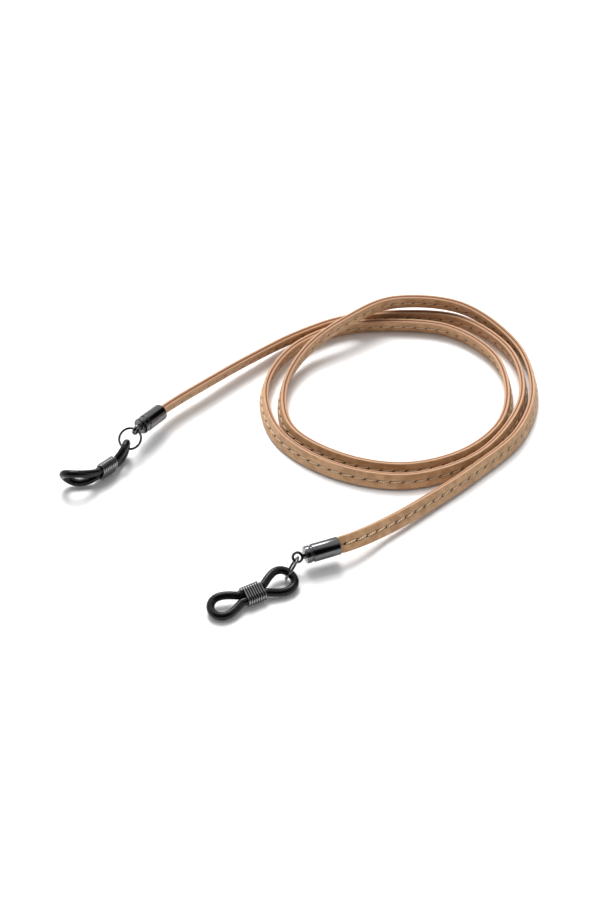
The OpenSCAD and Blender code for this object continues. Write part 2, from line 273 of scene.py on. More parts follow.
class Bench:
    """Lays out one material's nodes."""

    def __init__(self, name: str) -> None:
        """Starts an empty material with a principled shader.

        Args:
            name: the material's name.
        """
        self.material = bpy.data.materials.new(name)
        self.material.use_nodes = True
        self.tree = self.material.node_tree
        self.tree.nodes.clear()
        out = self.tree.nodes.new("ShaderNodeOutputMaterial")
        self.shader = self.tree.nodes.new("ShaderNodeBsdfPrincipled")
        self.link(self.shader.outputs["BSDF"], out.inputs["Surface"])

    def link(self, a: Socket, b: Socket) -> None:
        """Joins two sockets."""
        self.tree.links.new(a, b)

    def feed(self, value: Union[Socket, Colour, float], socket: Socket) -> None:
        """Gives a socket a value: another socket, a colour or a number.

        Args:
            value: what it is given.
            socket: the socket.
        """
        if isinstance(value, Socket):
            self.link(value, socket)
        else:
            socket.default_value = (*value, 1.0) if isinstance(value, tuple) else value

    def place(self) -> Socket:
        """The object coordinates."""
        return self.tree.nodes.new("ShaderNodeTexCoord").outputs["Object"]

    def stored(self, name: str) -> list[Socket]:
        """Reads a vector that is stored on the mesh.

        Args:
            name: the vector's name.

        Returns:
            Its three parts.
        """
        node = self.tree.nodes.new("ShaderNodeAttribute")
        node.attribute_name = name
        split = self.tree.nodes.new("ShaderNodeSeparateXYZ")
        self.link(node.outputs["Vector"], split.inputs[0])
        return list(split.outputs)

    def math(
        self, operation: str, a: Union[Socket, float], b: Union[Socket, float] = 0.0
    ) -> Socket:
        """Does one sum.

        Args:
            operation: the sum's name.
            a: its first number or socket.
            b: its second, where it has one.

        Returns:
            The result.
        """
        node = self.tree.nodes.new("ShaderNodeMath")
        node.operation = operation
        for value, socket in zip((a, b), node.inputs):
            self.feed(value, socket)
        return node.outputs[0]

    def ramp(
        self, value: Socket, low: float, high: float, to: tuple[float, float] = (0.0, 1.0)
    ) -> Socket:
        """Carries a value smoothly from one range to another.

        Args:
            value: the value.
            low: where its own range starts.
            high: where its own range ends.
            to: the two ends of the new range.

        Returns:
            The carried value, which stays within the new range.
        """
        node = self.tree.nodes.new("ShaderNodeMapRange")
        node.interpolation_type = "SMOOTHSTEP"
        self.link(value, node.inputs[0])
        for k, number in enumerate((low, high, *to)):
            node.inputs[k + 1].default_value = number
        return node.outputs[0]

    def noise(self, at: Socket, scale: float, detail: float = 2.0) -> Socket:
        """Makes noise.

        Args:
            at: where it is read, in metres.
            scale: waves a metre.
            detail: how many finer layers it has.

        Returns:
            The noise, from 0 to 1.
        """
        node = self.tree.nodes.new("ShaderNodeTexNoise")
        node.inputs["Scale"].default_value = scale
        node.inputs["Detail"].default_value = detail
        self.link(at, node.inputs["Vector"])
        return node.outputs["Fac"]

    def mix(
        self, share: Union[Socket, float], a: Union[Socket, Colour], b: Union[Socket, Colour]
    ) -> Socket:
        """Lays a share of one colour over another.

        Args:
            share: how much of b there is, from 0 to 1.
            a: the colour below.
            b: the colour on top.

        Returns:
            The mixed colour.
        """
        node = self.tree.nodes.new("ShaderNodeMix")
        node.data_type = "RGBA"
        for value, socket in zip((share, a, b), (node.inputs[0], node.inputs[6], node.inputs[7])):
            self.feed(value, socket)
        return node.outputs[2]

    def bump(self, height: Socket, depth: float) -> None:
        """Raises the look of the surface by height times depth.

        Args:
            height: the height, as a number that depth multiplies.
            depth: how far a height of 1 stands out, in millimetres.
        """
        node = self.tree.nodes.new("ShaderNodeBump")
        node.inputs["Distance"].default_value = depth * MM
        self.link(height, node.inputs["Height"])
        self.link(node.outputs["Normal"], self.shader.inputs["Normal"])

    def colour(self, value: Socket) -> None:
        """Sets the base colour."""
        self.link(value, self.shader.inputs["Base Color"])

    def roughness(self, value: Socket) -> None:
        """Sets the roughness."""
        self.link(value, self.shader.inputs["Roughness"])

    def fixed(self, **values: float) -> None:
        """Sets numbers on the shader's own sockets, with _ for a space."""
        for key, value in values.items():
            self.shader.inputs[key.replace("_", " ")].default_value = value


@dataclass(frozen=True)
class LeatherFinish:
    """Vegetable-tanned leather with burnished edges, read from places on the strap.

    A band is two distances, in millimetres, between which one look gives way to
    another: cut_band in from the cut edge, seam_band out from the seam, hole_shade_band
    from a needle hole and groove_band from the middle of the face. face_share is
    the same for the outer face, in shares of the layer's thickness. A hole's
    distance counts hole_stretch of the way along the strap, so it looks longer.
    """

    name: str
    face: Colour
    deep: Colour
    edge: Colour = (0.45, 0.272, 0.16)
    # seam also colours the painted shade in the groove down the middle of each face.
    seam: Colour = (0.2, 0.06, 0.03)
    # hole is painted shade: the near-black colour of the shade inside the needle holes.
    hole: Colour = (0.035, 0.018, 0.01)
    roughness: float = 0.52
    cut_band: tuple[float, float] = (0.32, 0.12)
    seam_band: tuple[float, float] = (0.1, 0.34)
    hole_shade_band: tuple[float, float] = (0.24, 0.5)
    hole_stretch: float = 0.65
    groove_band: tuple[float, float] = (0.15, 0.5)
    face_share: tuple[float, float] = (0.6, 0.75)
    grain_depth: float = 0.07

    def material(self, width: float, pitch: float, layer: float) -> bpy.types.Material:
        """Makes the leather.

        Args:
            width: the strap's width.
            pitch: the length of one stitch.
            layer: the thickness of one layer.

        Returns:
            The material.
        """
        b = Bench(self.name)
        at = b.place()
        along, across, out = b.stored("strap_place")
        away = b.math("ABSOLUTE", across)
        depth = b.math("ABSOLUTE", out)
        cloud = b.ramp(b.noise(at, 380, 6), 0.35, 0.65)
        pores = b.noise(at, 2600, 3)
        fleck = b.ramp(pores, 0.55, 0.75, (0.0, 0.6))
        face = b.mix(cloud, self.face, self.deep)
        face = b.mix(fleck, face, self.deep)
        # The cut edge is where a point lies near the full half width.
        cut = b.ramp(away, width / 2 - self.cut_band[0], width / 2 - self.cut_band[1])
        fibres = b.ramp(b.noise(at, 900, 5), 0.35, 0.7, (0.0, 0.45))
        edge = b.mix(fibres, self.edge, self.face)
        skinned = b.mix(cut, face, edge)
        # The seam between the layers shows as a dark line along the cut edge.
        seam = b.math("MULTIPLY", cut, b.ramp(depth, *self.seam_band, (1.0, 0.0)))
        skinned = b.mix(seam, skinned, self.seam)
        # Needle holes stand a stitch apart on the middle of each face, painted near black as the
        # shade inside them.
        phase = b.math("SUBTRACT", b.math("FRACT", b.math("DIVIDE", along, pitch)), 0.5)
        beside = b.math("MULTIPLY", phase, pitch)
        longer = b.math("POWER", b.math("MULTIPLY", beside, self.hole_stretch), 2.0)
        reach = b.math("SQRT", b.math("ADD", longer, b.math("POWER", across, 2.0)))
        outside = b.ramp(depth, layer * self.face_share[0], layer * self.face_share[1])
        # Painted shade: the hole mask darkens the face to the hole colour round each needle hole.
        hole = b.math("MULTIPLY", b.ramp(reach, *self.hole_shade_band, (1.0, 0.0)), outside)
        # Painted shade: the middle of each outer face is darkened half way to the seam colour,
        # where the stitches pull a groove in.
        groove = b.math("MULTIPLY", b.ramp(away, *self.groove_band, (0.5, 0.0)), outside)
        skinned = b.mix(groove, skinned, self.seam)
        b.colour(b.mix(hole, skinned, self.hole))
        b.roughness(b.ramp(pores, 0.2, 0.8, (self.roughness - 0.08, self.roughness + 0.1)))
        grain = b.math("ADD", b.math("MULTIPLY", b.noise(at, 1300, 4), 0.7), pores)
        b.bump(grain, self.grain_depth)
        b.fixed(Specular_IOR_Level=0.38)
        return b.material


@dataclass(frozen=True)
class ThreadFinish:
    """Waxed thread, twisted of plies that show as slanting ridges.

    A ridge's height is sin(ply_rate times the way along + the angle round the thread). The colour
    goes from light to dark in the valleys between the ridges, as painted shade.
    """

    name: str = "waxed_thread"
    light: Colour = (0.86, 0.68, 0.46)
    # dark is the painted shade in the valleys between the plies.
    dark: Colour = (0.42, 0.27, 0.15)
    ply_rate: float = 9.0
    ply_depth: float = 0.05

    def material(self) -> bpy.types.Material:
        """Makes the thread.

        Returns:
            The material.
        """
        b = Bench(self.name)
        along, round_it, _ = b.stored("thread_place")
        turn = b.math("ADD", b.math("MULTIPLY", along, self.ply_rate), round_it)
        plies = b.math("SINE", turn)
        # Painted shade: the thread is coloured dark in the valleys between the plies.
        b.colour(b.mix(b.ramp(plies, -1.0, 0.4, (0.8, 0.0)), self.light, self.dark))
        b.bump(plies, self.ply_depth)
        b.fixed(Roughness=0.62, Specular_IOR_Level=0.3)
        return b.material


@dataclass(frozen=True)
class MetalFinish:
    """Polished black nickel plating with faint handling marks."""

    name: str
    tint: Colour
    roughness: float
    marks: float = 0.06
    marks_depth: float = 0.004
    cloud_share: float = 0.72

    def material(self) -> bpy.types.Material:
        """Makes the plating.

        Returns:
            The material.
        """
        b = Bench(self.name)
        at = b.place()
        cloud = b.noise(at, 420, 3)
        darker = tuple(self.cloud_share * c for c in self.tint)
        b.colour(b.mix(b.ramp(cloud, 0.35, 0.75, (0.0, 0.6)), self.tint, darker))
        rub = b.noise(at, 3200, 2)
        b.roughness(b.ramp(rub, 0.3, 0.75, (self.roughness, self.roughness + self.marks)))
        b.bump(rub, self.marks_depth)
        b.fixed(Metallic=1.0)
        return b.material


@dataclass(frozen=True)
class RubberFinish:
    """Smooth extruded rubber cord with a slight gloss and a few specks of dust."""

    name: str = "black_rubber"
    tint: Colour = (0.002, 0.002, 0.002)
    dust: Colour = (0.007, 0.007, 0.007)
    roughness: tuple[float, float] = (0.2, 0.3)
    haze_depth: float = 0.006

    def material(self) -> bpy.types.Material:
        """Makes the rubber.

        Returns:
            The material.
        """
        b = Bench(self.name)
        at = b.place()
        haze = b.noise(at, 700, 4)
        b.colour(b.mix(b.ramp(haze, 0.5, 0.8, (0.0, 0.6)), self.tint, self.dust))
        b.roughness(b.ramp(haze, 0.3, 0.7, self.roughness))
        b.bump(b.noise(at, 2400, 3), self.haze_depth)
        b.fixed(Specular_IOR_Level=0.26)
        return b.material


@dataclass(frozen=True)
class GlueFinish:
    """Cured glue in the bottom of a ferrule's bore."""

    name: str = "cured_glue"
    tint: Colour = (0.62, 0.53, 0.33)
    cloud_share: float = 0.7
    ripple_depth: float = 0.05

    def material(self) -> bpy.types.Material:
        """Makes the glue.

        Returns:
            The material.
        """
        b = Bench(self.name)
        cloud = b.noise(b.place(), 900, 3)
        darker = tuple(self.cloud_share * c for c in self.tint)
        b.colour(b.mix(b.ramp(cloud, 0.3, 0.8, (0.0, 0.5)), self.tint, darker))
        b.bump(cloud, self.ripple_depth)
        b.fixed(Roughness=0.3)
        return b.material


# ---------------------------------------------------------------------- strap


class Side(Enum):
    """The two ends of the strap."""

    RIGHT = "right"
    LEFT = "left"


class Layer(Enum):
    """The two leather layers, and which way each lies from the middle."""

    OUTER = 1
    INNER = -1


@dataclass
class Pose:
    """How a ferrule and its ring point: yaw, dip, roll and swing, in degrees."""

    yaw: float
    dip: float
    roll: float
    swing: float

    @property
    def axis(self) -> np.ndarray:
        """The ferrule's direction, from its mouth to its eye."""
        return turned(np.array([1.0, 0, 0]), 0, self.dip, self.yaw)


RIGHT_POSE = Pose(yaw=201, dip=1.5, roll=-40, swing=44)
LEFT_POSE = Pose(yaw=238.5, dip=-8.5, roll=-102, swing=38.5)


@dataclass
class Stations:
    """Places along the strap, as arrays of equal length."""

    place: np.ndarray
    direction: np.ndarray
    lean: np.ndarray
    width: np.ndarray
    along: np.ndarray

    def frames(self) -> tuple[np.ndarray, np.ndarray]:
        """The strap's own directions.

        Across is cos(lean) up + sin(lean) inward, where up is square to the strap's
        direction and inward is square to both.

        Returns:
            The directions across it, towards its top edge, and out of its outer face.
        """
        t = self.direction
        up = unit(np.array([0, 0, 1.0]) - t * t[:, 2:])
        inward = np.cross(up, t)
        lean = np.radians(self.lean)[:, None]
        across = np.cos(lean) * up + np.sin(lean) * inward
        return across, np.cross(t, across)


@dataclass
class Route:
    """The strap's way from the right ferrule's mouth to the left one's.

    A lead's points are (x, y, rise of the lower edge, lean). A coil's points stand
    a step apart round its middle, as (radius, share of the crossing's rise, lean).
    """

    strap_w: float = 4.6
    layer_t: float = 0.85
    lead_in: tuple = ((9.2, -43.5, 2.7, 42), (22.5, -34, 0.8, 35), (35.5, -23, 0.1, 27))
    lead_out: tuple = (
        (12, 58.5, 0.1, 18), (-2, 50.5, 0.5, 22), (-15, 39, 1.4, 25),
        (-28, 26, 2.2, 25), (-41.4, 11.3, 3, 25),
    )
    coil_mid: tuple = (28, 24)
    coil_start: float = -60
    coil_step: float = 30
    coil_points: tuple = (
        (40.5, 0, 20), (39, 0, 17), (40, 0, 17), (42.5, 0.1, 18), (42.5, 0.65, 17),
        (37, 1.05, 13), (31, 1, 12), (32, 0.4, 12), (34, 0, 14), (36.5, 0, 15),
        (35, 0, 16), (34.5, 0, 16), (33.5, 0, 16), (33, 0, 16), (32.5, 0, 16),
        (34, 0, 16), (34.5, 0, 16), (33, 0, 16), (35, 0, 16), (37.5, 0, 16),
        (39.5, 0, 16), (40.5, 0, 16), (39.5, 0, 16), (39, 0, 16), (37, 0, 16),
        (35.5, 0, 16), (37, 0, 16), (39.5, 0, 16), (40.5, 0, 16), (37.5, 0, 16),
    )
    crossing_gap: float = 0.4
    crossing_lean: float = 16
    centring: tuple = (0, 1.2, 0.06)
    tongue_l: float = 5.5
    tongue_w: float = 4.2
    shoulder_l: float = 0.8
    steps_a_point: int = 60
    points: np.ndarray = field(init=False)
    slopes: np.ndarray = field(init=False)

    def __post_init__(self) -> None:
        """Works out the route's points and slopes.

        A slope is half the way from the point before to the point after, and at a
        mouth it follows the ferrule.
        """
        coil = np.array(self.coil_points, dtype=float)
        angle = np.radians(self.coil_start + self.coil_step * np.arange(len(coil)))
        leaning = 2 * self.layer_t * math.sin(math.radians(self.crossing_lean))
        rise = self.strap_w + leaning + self.crossing_gap
        turns = np.stack([
            self.coil_mid[0] + coil[:, 0] * np.cos(angle),
            self.coil_mid[1] + coil[:, 0] * np.sin(angle),
            coil[:, 1] * rise, coil[:, 2],
        ], axis=-1)
        points = np.vstack([self.lead_in, turns, self.lead_out]).astype(float)
        lean = np.radians(points[:, 3])
        points[:, 2] += self.strap_w / 2 * np.cos(lean) + self.layer_t * np.sin(lean)
        points[:, :3] += self.centring
        slopes = np.empty_like(points)
        slopes[1:-1] = (points[2:] - points[:-2]) / 2
        for end, then, axis, way in ((0, 1, RIGHT_POSE.axis, -1), (-1, -2, LEFT_POSE.axis, 1)):
            step = np.linalg.norm(points[end, :3] - points[then, :3])
            slopes[end, :3] = way * axis * step
            slopes[end, 3] = way * (points[end, 3] - points[then, 3])
        self.points, self.slopes = points, slopes

    def at(self, u: np.ndarray) -> tuple[np.ndarray, np.ndarray]:
        """Places on the route, cubic from point to point with the slopes at its ends.

        Args:
            u: numbers whose whole part is a point and whose rest is the way to the next.

        Returns:
            The places, with the lean as a fourth number, and the route's directions.
        """
        i = np.clip(u.astype(int), 0, len(self.points) - 2)
        t = (u - i)[:, None]
        p, q, m, n = self.points[i], self.points[i + 1], self.slopes[i], self.slopes[i + 1]
        place = (
            (2 * t**3 - 3 * t**2 + 1) * p + (t**3 - 2 * t**2 + t) * m
            + (3 * t**2 - 2 * t**3) * q + (t**3 - t**2) * n
        )
        rate = (
            (6 * t**2 - 6 * t) * p + (3 * t**2 - 4 * t + 1) * m
            + (6 * t - 6 * t**2) * q + (3 * t**2 - 2 * t) * n
        )
        return place, unit(rate[:, :3])

    def length(self) -> float:
        """The strap's length between the two mouths."""
        return float(self._walk()[1][-1])

    def _walk(self) -> tuple[np.ndarray, np.ndarray]:
        """Walks the route in fine steps.

        Returns:
            The numbers that at() takes, and the length walked at each.
        """
        last = len(self.points) - 1
        u = np.linspace(0, last, self.steps_a_point * last + 1)
        place = self.at(u)[0][:, :3]
        steps = np.linalg.norm(np.diff(place, axis=0), axis=1)
        return u, np.concatenate([[0], np.cumsum(steps)])

    def stations(self, along: np.ndarray) -> Stations:
        """The strap at these lengths along it, which pass the mouths in the tongues.

        Args:
            along: lengths from the right mouth, negative in the right tongue.

        Returns:
            The stations.
        """
        u, walked = self._walk()
        total = walked[-1]
        place, direction = self.at(np.interp(along, walked, u))
        before, beyond = np.minimum(along, 0)[:, None], np.maximum(along - total, 0)[:, None]
        spot = place[:, :3] - RIGHT_POSE.axis * before + LEFT_POSE.axis * beyond
        width = np.interp(
            along,
            [0, self.shoulder_l, total - self.shoulder_l, total],
            [self.tongue_w, self.strap_w, self.strap_w, self.tongue_w],
        )
        return Stations(spot, direction, place[:, 3], width, along)

    def mouth(self, side: Side) -> np.ndarray:
        """The middle of a ferrule's mouth."""
        return self.points[0 if side is Side.RIGHT else -1, :3]


@dataclass
class Strap:
    """The two leather layers and the row of stitches on each face."""

    route: Route
    stitch: float = 3.5
    edge_round: float = 0.3
    crown: float = 0.03
    groove: float = 0.09
    groove_w: float = 0.4
    dimple_depth: float = 0.16
    dimple_l: float = 0.42
    dimple_w: float = 0.34
    thread_r: float = 0.21
    thread_sunk: float = 0.1
    thread_rise: float = 0.2
    thread_slant: float = 0.34
    thread_gap: float = 0.03
    thread_flat: float = 0.8
    tip_share: float = 0.55
    thread_sides: int = 6
    thread_steps: int = 7
    face_share: float = 0.7
    corner_steps: int = 7
    rings_a_stitch: int = 6
    tongue_rings: int = 6
    tongue_end: float = 0.5
    mouth_ring: float = 0.3
    cord_points: int = 720
    total: float = field(init=False)
    count: int = field(init=False)
    pitch: float = field(init=False)

    def __post_init__(self) -> None:
        """Fits a whole number of stitches between the mouths."""
        self.total = self.route.length()
        self.count = round(self.total / self.stitch)
        self.pitch = self.total / self.count

    def outline(self) -> np.ndarray:
        """One layer's outline as (across, out), round its corners and its sunk middle.

        Out is layer_t + crown (1 - (2 across / w)^2) on the face, less
        groove exp(-(across / groove_w)^2) where the stitches pull it in.

        Returns:
            The outline's points.
        """
        half, t, r = self.route.strap_w / 2, self.route.layer_t, self.edge_round
        turn = np.radians(np.linspace(0, 90, self.corner_steps))
        corner = np.stack([half - r + r * np.cos(turn), t - r + r * np.sin(turn)], axis=-1)
        # The cut edge: a small round at the seam, then a wall that leans out a little.
        edge = np.array([[half - 0.1, 0], [half - 0.03, 0.04], [half, 0.14], [half + 0.02, 0.34]])
        right = np.vstack([edge, corner])
        across = np.concatenate([np.linspace(half - 0.5, 0.6, 5), np.linspace(0.45, 0, 4)])
        across = np.concatenate([across, -across[-2::-1]])
        out = t + self.crown * (1 - (across / half) ** 2)
        out -= self.groove * np.exp(-((across / self.groove_w) ** 2))
        face = np.stack([across, out], axis=-1)
        left = right[::-1] * [-1, 1]
        return np.vstack([right, face, left])

    def leather(self, name: str, layer: Layer, finish: LeatherFinish) -> bpy.types.Object:
        """Carries the outline along the route, with a dimple at every needle hole.

        A dimple takes dimple_depth exp(-(beside / dimple_l)^2 - (across / dimple_w)^2)
        off the face, where beside is the way along from the hole.

        Args:
            name: the piece's name.
            layer: which layer it is.
            finish: its leather.

        Returns:
            The layer.
        """
        fine = self.pitch / self.rings_a_stitch
        inside = np.linspace(-self.route.tongue_l, -self.tongue_end, self.tongue_rings)
        free = np.linspace(0, self.total, round(self.total / fine) + 1)
        mouths = np.array([self.mouth_ring, self.total - self.mouth_ring])
        outside = np.sort(np.append(free, mouths))
        along = np.concatenate([inside, outside, self.total - inside[::-1]])
        s = self.route.stations(along)
        across_dir, out_dir = s.frames()
        shape = self.outline()
        across = shape[None, :, 0] * (s.width / self.route.strap_w)[:, None]
        out = np.repeat(shape[None, :, 1], len(along), axis=0)
        beside = ((along / self.pitch) % 1 - 0.5)[:, None] * self.pitch
        between_mouths = ((along > 0) * (along < self.total))[:, None]
        on_face = (out > self.route.layer_t * self.face_share) * between_mouths
        dimple = np.exp(-((beside / self.dimple_l) ** 2) - (across / self.dimple_w) ** 2)
        signed = layer.value * (out - self.dimple_depth * on_face * dimple)
        rings = (
            s.place[:, None] + across[..., None] * across_dir[:, None]
            + signed[..., None] * out_dir[:, None]
        )
        walked = np.repeat(along[:, None], len(shape), axis=1)
        places = np.stack([walked, across, signed], axis=-1).reshape(-1, 3)
        made = piece(name, skin(rings, False), sharp=50, places={"strap_place": places})
        made.data.materials.append(
            finish.material(self.route.strap_w, self.pitch, self.route.layer_t)
        )
        return made

    def stitches(self, name: str, layer: Layer, finish: ThreadFinish) -> bpy.types.Object:
        """Lays a slanting stitch from each needle hole to the next.

        At a share k of its length a stitch lies thread_slant (k - 1/2) across, and
        it rises by thread_rise sin(pi k)^0.6, so that its ends dive into their holes.
        Its radius is thread_r (tip_share + (1 - tip_share) sin(pi k)^0.5).

        Args:
            name: the piece's name.
            layer: the layer on whose face it lies.
            finish: its thread.

        Returns:
            The row of stitches.
        """
        sides, steps = self.thread_sides, self.thread_steps
        holes = (np.arange(self.count - 1) + 0.5) * self.pitch
        k = np.linspace(0, 1, steps)
        along = holes[:, None] + self.pitch * (self.thread_gap + (1 - 2 * self.thread_gap) * k)
        s = self.route.stations(along.ravel())
        across_dir, out_dir = s.frames()
        across = np.tile(self.thread_slant * (k - 0.5), len(holes)) * layer.value
        sunk = self.route.layer_t - self.groove - self.thread_sunk
        out = np.tile(sunk + self.thread_rise * np.sin(math.pi * k) ** 0.6, len(holes))
        middle = s.place + across[:, None] * across_dir + (layer.value * out)[:, None] * out_dir
        angle = np.linspace(0, 2 * math.pi, sides, endpoint=False)
        swell = self.tip_share + (1 - self.tip_share) * np.sin(math.pi * k) ** 0.5
        radius = np.tile(swell, len(holes)) * self.thread_r
        wide, high = np.cos(angle)[None, :, None], self.thread_flat * np.sin(angle)[None, :, None]
        rings = middle[:, None] + radius[:, None, None] * (
            wide * across_dir[:, None] + high * out_dir[:, None]
        )
        one = skin(rings[:steps], False)
        shifts = (np.arange(len(holes)) * steps * sides)[:, None, None]
        faces = [(rows + shifts).reshape(-1, rows.shape[1]) for rows in one.faces]
        walked = np.repeat(s.along[:, None], sides, axis=1)
        turns = np.repeat(angle[None, :], len(s.along), axis=0)
        places = np.stack([walked, turns, 0 * turns], axis=-1).reshape(-1, 3)
        shell = Shell(rings.reshape(-1, 3), faces)
        made = piece(name, shell, sharp=80, places={"thread_place": places})
        made.data.materials.append(finish.material())
        return made

    def build(self) -> list[bpy.types.Object]:
        """Builds the leather and the stitches.

        Returns:
            The outer and the inner leather, then the outer and the inner row.
        """
        outer_finish = LeatherFinish(
            "outer_face_leather", face=(0.58, 0.348, 0.185), deep=(0.44, 0.245, 0.12)
        )
        inner_finish = LeatherFinish(
            "inner_face_leather", face=(0.52, 0.296, 0.153), deep=(0.38, 0.2, 0.097)
        )
        outer = self.leather("outer_leather", Layer.OUTER, outer_finish)
        inner = self.leather("inner_leather", Layer.INNER, inner_finish)
        thread = ThreadFinish()
        outer_row = self.stitches("outer_stitches", Layer.OUTER, thread)
        inner_row = self.stitches("inner_stitches", Layer.INNER, thread)
        rows = (
            (outer, "strap_outer_leather", "leather_outer"),
            (inner, "strap_inner_leather", "leather_inner"),
            (outer_row, "outer_thread", "thread"),
            (inner_row, "inner_thread", "thread"),
        )
        for made, node, slot in rows:
            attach(made, "strap")
            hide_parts(node)
            log.info("%s: %d faces", made.name, len(made.data.polygons))
        return [outer, inner, outer_row, inner_row]

    def declare(self) -> None:
        tongue = self.route.tongue_l
        along = np.linspace(-tongue, self.total + tongue, self.cord_points)
        path = self.route.stations(along).place * MM
        tuple(self.route.mouth(Side.RIGHT) * MM)


# ------------------------------------------------------------------ end pieces


@dataclass
class Ferrule:
    """A turned ferrule: bored barrel, groove, collar, neck and eye, along X."""

    bore_r: float = math.hypot(2.1, 0.55) + 0.03
    wall: float = 0.3
    bore_depth: float = 6.5
    bottom: float = 1.1
    groove_w: float = 0.5
    groove_depth: float = 0.3
    collar_l: float = 1.4
    collar_step: float = 0.1
    round_r: float = 0.2
    lip_r: float = 0.13
    foot_r: float = 0.12
    bore_chamfer: float = 0.15
    neck_r: float = 1.0
    neck_l: float = 0.5
    neck_flare: float = 0.35
    neck_round: float = 0.2
    eye_hole_r: float = 0.9
    eye_rim: float = 0.75
    eye_t: float = 1.1
    eye_square: float = 2.6
    sides: int = 96
    arc_steps: int = 7
    eye_steps: int = 72
    rim_steps: int = 24

    @property
    def length(self) -> float:
        """From the mouth to the end of the collar."""
        return self.bore_depth + self.bottom + self.groove_w + self.collar_l

    @property
    def eye_x(self) -> float:
        """From the mouth to the middle of the eye."""
        return self.length + self.neck_l + self.eye_hole_r + self.eye_rim

    def barrel(self) -> Shell:
        """Turns the barrel, the collar and the neck from one profile.

        The profile is straight runs and rounds, from the bottom of the bore out
        round the lip and along the outside to the neck's end inside the eye.

        Returns:
            The turned part.
        """
        outer = self.bore_r + self.wall
        collar = outer - self.collar_step
        low = outer - self.groove_depth
        end = self.bore_depth + self.bottom
        start = end + self.groove_w

        def arc(x: float, r: float, radius: float, a: float, b: float) -> np.ndarray:
            """Points on a round of this radius about (x, r), from angle a to b."""
            turn = np.radians(np.linspace(a, b, self.arc_steps))
            return np.stack([x + radius * np.cos(turn), r + radius * np.sin(turn)], axis=-1)

        rr, lip, foot, neck = self.round_r, self.lip_r, self.foot_r, self.neck_round
        cut = self.bore_chamfer
        # The last two points close the neck inside the eye's rim, out of sight.
        profile = np.vstack([
            [[self.bore_depth, 0], [self.bore_depth, self.bore_r - cut]],
            [[self.bore_depth - cut, self.bore_r], [lip, self.bore_r]],
            arc(lip, self.bore_r + lip, lip, 260, 180),
            arc(lip, outer - lip, lip, 180, 90),
            arc(end - rr, outer - rr, rr, 90, 0),
            arc(end + foot, low + foot, foot, 180, 270),
            arc(start - foot, low + foot, foot, 270, 360),
            arc(start + rr, collar - rr, rr, 180, 90),
            arc(self.length - rr, collar - rr, rr, 90, 0),
            [[self.length + 0.02, self.neck_r + self.neck_flare]],
            arc(self.length + neck, self.neck_r + neck, neck, 200, 270),
            [[self.length + self.neck_l + self.eye_rim * 0.4, self.neck_r * 0.9]],
            [[self.length + self.neck_l + self.eye_rim * 0.5, 0]],
        ])
        return lathe(profile, self.sides)

    def eye(self) -> Shell:
        """Carries a rounded band round the eye's hole.

        Across the band |x|^n + |z|^n = 1, with n = eye_square, in halves of its size.

        Returns:
            The eye.
        """
        turn = np.linspace(0, 2 * math.pi, self.eye_steps, endpoint=False)
        section = np.linspace(0, 2 * math.pi, self.rim_steps, endpoint=False)
        c, s = np.cos(section), np.sin(section)
        power = 2 / self.eye_square
        radial = self.eye_hole_r + self.eye_rim / 2 * (1 + np.sign(c) * np.abs(c) ** power)
        height = self.eye_t / 2 * np.sign(s) * np.abs(s) ** power
        x = radial[None] * np.cos(turn)[:, None] + self.eye_x
        y = radial[None] * np.sin(turn)[:, None]
        return skin(np.stack([x, y, height[None] + 0 * x], axis=-1), True)


@dataclass
class JumpRing:
    """A ring of round wire, cut through by a fine slit."""

    ring_d: float = 7.0
    wire: float = 0.7
    slit: float = 1.2
    steps: int = 97
    sides: int = 20

    @property
    def ring_r(self) -> float:
        """Radius of the wire's centre line."""
        return (self.ring_d - self.wire) / 2

    def shell(self) -> Shell:
        """Bends the wire round in the XZ plane, through the origin and out along X.

        Returns:
            The ring.
        """
        half = self.slit / 2
        turn = np.radians(np.linspace(90 + half, 450 - half, self.steps))
        x, z = self.ring_r * (1 + np.cos(turn)), self.ring_r * np.sin(turn)
        path = np.stack([x, 0 * x, z], axis=-1)
        level = np.repeat([[0.0, 1.0, 0.0]], len(path), axis=0)
        return tube(path, level, self.wire / 2, self.sides, False)


@dataclass
class LoopPose:
    """How a rubber loop lies: its heading, dip and roll, and each opening's curl.

    An opening's curl is (bend, tilt, twist): how far its end is bent round, the
    tilt of that bend about the coil, and how far the end is twisted. The place
    hang_angle round the back opening hangs in the ring, and the coil sits
    coil_shift millimetres nearer the back.
    """

    yaw: float
    dip: float
    roll: float
    front: Curl
    back: Curl
    hang_angle: float
    back_bulge: float
    coil_shift: float = 0.0


RIGHT_LOOP = LoopPose(
    yaw=210, dip=0, roll=-20, front=(-11, 44, 11), back=(11, 0, 8), hang_angle=166, back_bulge=4.0
)
LEFT_LOOP = LoopPose(
    yaw=229, dip=-2.5, roll=72, front=(-67, -16, -22), back=(45, 54, -2), hang_angle=180,
    back_bulge=2.8, coil_shift=1.6,
)


